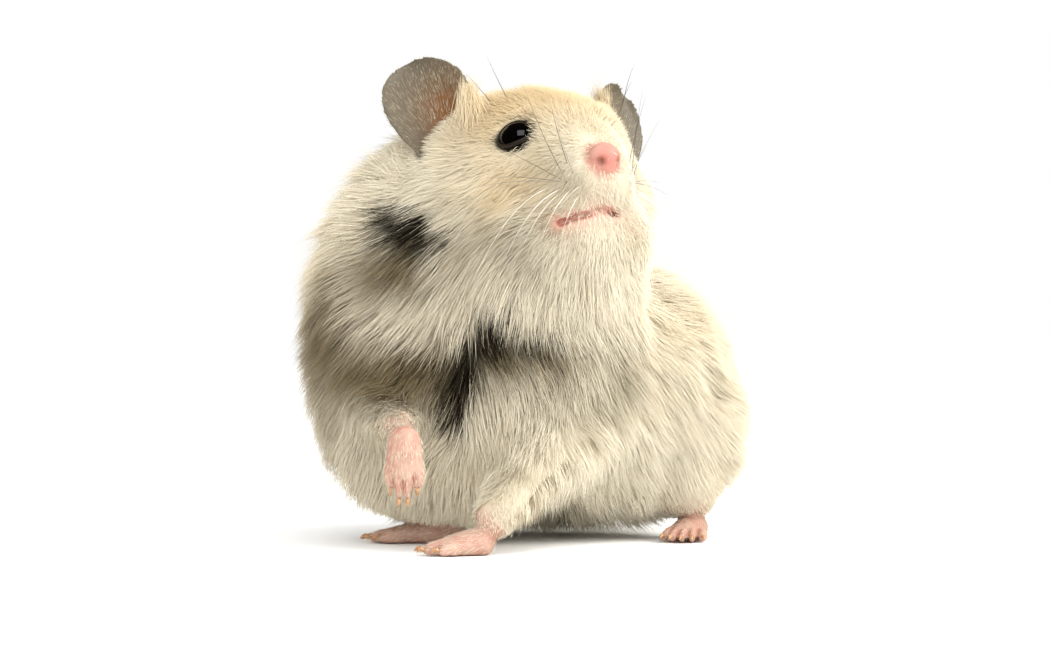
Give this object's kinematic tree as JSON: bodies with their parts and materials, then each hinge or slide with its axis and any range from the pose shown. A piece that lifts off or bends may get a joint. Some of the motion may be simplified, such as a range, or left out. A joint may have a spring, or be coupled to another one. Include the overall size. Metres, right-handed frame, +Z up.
{
  "type": "syrian hamster",
  "caption": "Still, life-size Syrian hamster with a long pale coat. It stands with a forepaw raised and its head turned, and rests on its feet and rump.",
  "frame": {"origin": "middle of the bounding box, on the floor that the animal stands on", "axes": "+Z up, -Y the way the chest faces, +X towards the animal's left side"},
  "size_m": [0.0832, 0.111, 0.0932],
  "materials": {
    "coat": "long soft fur, cream with grey-brown bands",
    "ear": "thin grey skin with short pale hairs",
    "bare_skin": "soft pink skin with sparse white hairs",
    "nose": "moist pink skin",
    "eye": "wet, glossy black",
    "claw": "translucent brown horn"
  },
  "bodies": {
    "root": {"chest": "coat", "claw_forefoot_left_1": "claw", "claw_forefoot_left_2": "claw", "claw_forefoot_left_3": "claw", "claw_forefoot_left_4": "claw", "claw_forefoot_right_1": "claw", "claw_forefoot_right_2": "claw", "claw_forefoot_right_3": "claw", "claw_forefoot_right_4": "claw", "claw_hindfoot_left_1": "claw", "claw_hindfoot_left_2": "claw", "claw_hindfoot_left_3": "claw", "claw_hindfoot_left_4": "claw", "claw_hindfoot_left_5": "claw", "claw_hindfoot_right_1": "claw", "claw_hindfoot_right_2": "claw", "claw_hindfoot_right_3": "claw", "claw_hindfoot_right_4": "claw", "claw_hindfoot_right_5": "claw", "ear_left": "ear", "ear_right": "ear", "eye_left": "eye", "eye_right": "eye", "forefoot_left": "bare_skin", "forefoot_right": "bare_skin", "foreleg_left": "coat", "foreleg_right": "coat", "head": "coat", "hindfoot_left": "bare_skin", "hindfoot_right": "bare_skin", "hindleg_left": "coat", "hindleg_right": "coat", "neck": "coat", "nose": "nose", "rump": "coat", "tail": "bare_skin"}
  },
  "joints": []
}
